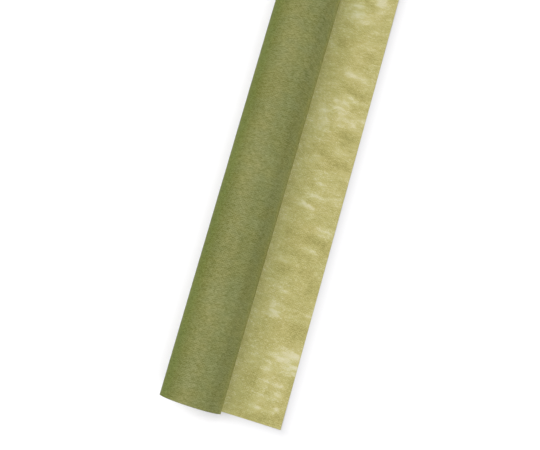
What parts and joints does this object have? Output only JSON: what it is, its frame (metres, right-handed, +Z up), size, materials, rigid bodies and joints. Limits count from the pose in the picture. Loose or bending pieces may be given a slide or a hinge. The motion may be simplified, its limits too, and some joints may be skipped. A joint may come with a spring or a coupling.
{
  "type": "roll of nonwoven fabric",
  "caption": "Long roll of nonwoven fabric lying on its side, its loose end laid out flat in front as a single sheer layer with straight cut edges.",
  "frame": {"origin": "middle of the foot of the box around the roll and its loose end, on the surface that it lies on", "axes": "+Z up; X along the roll; the loose end lies out towards -Y and the roll's axis is on the +Y side"},
  "size_m": [1.183, 0.1646, 0.0878],
  "materials": {
    "wound_cloth": "matt olive green nonwoven, many layers deep, fine point-bonded texture",
    "single_layer_cloth": "matt olive green nonwoven, one sheer cloudy layer, fine point-bonded texture"
  },
  "bodies": {
    "root": {"wound_roll": "wound_cloth", "loose_end": "single_layer_cloth"}
  },
  "joints": []
}
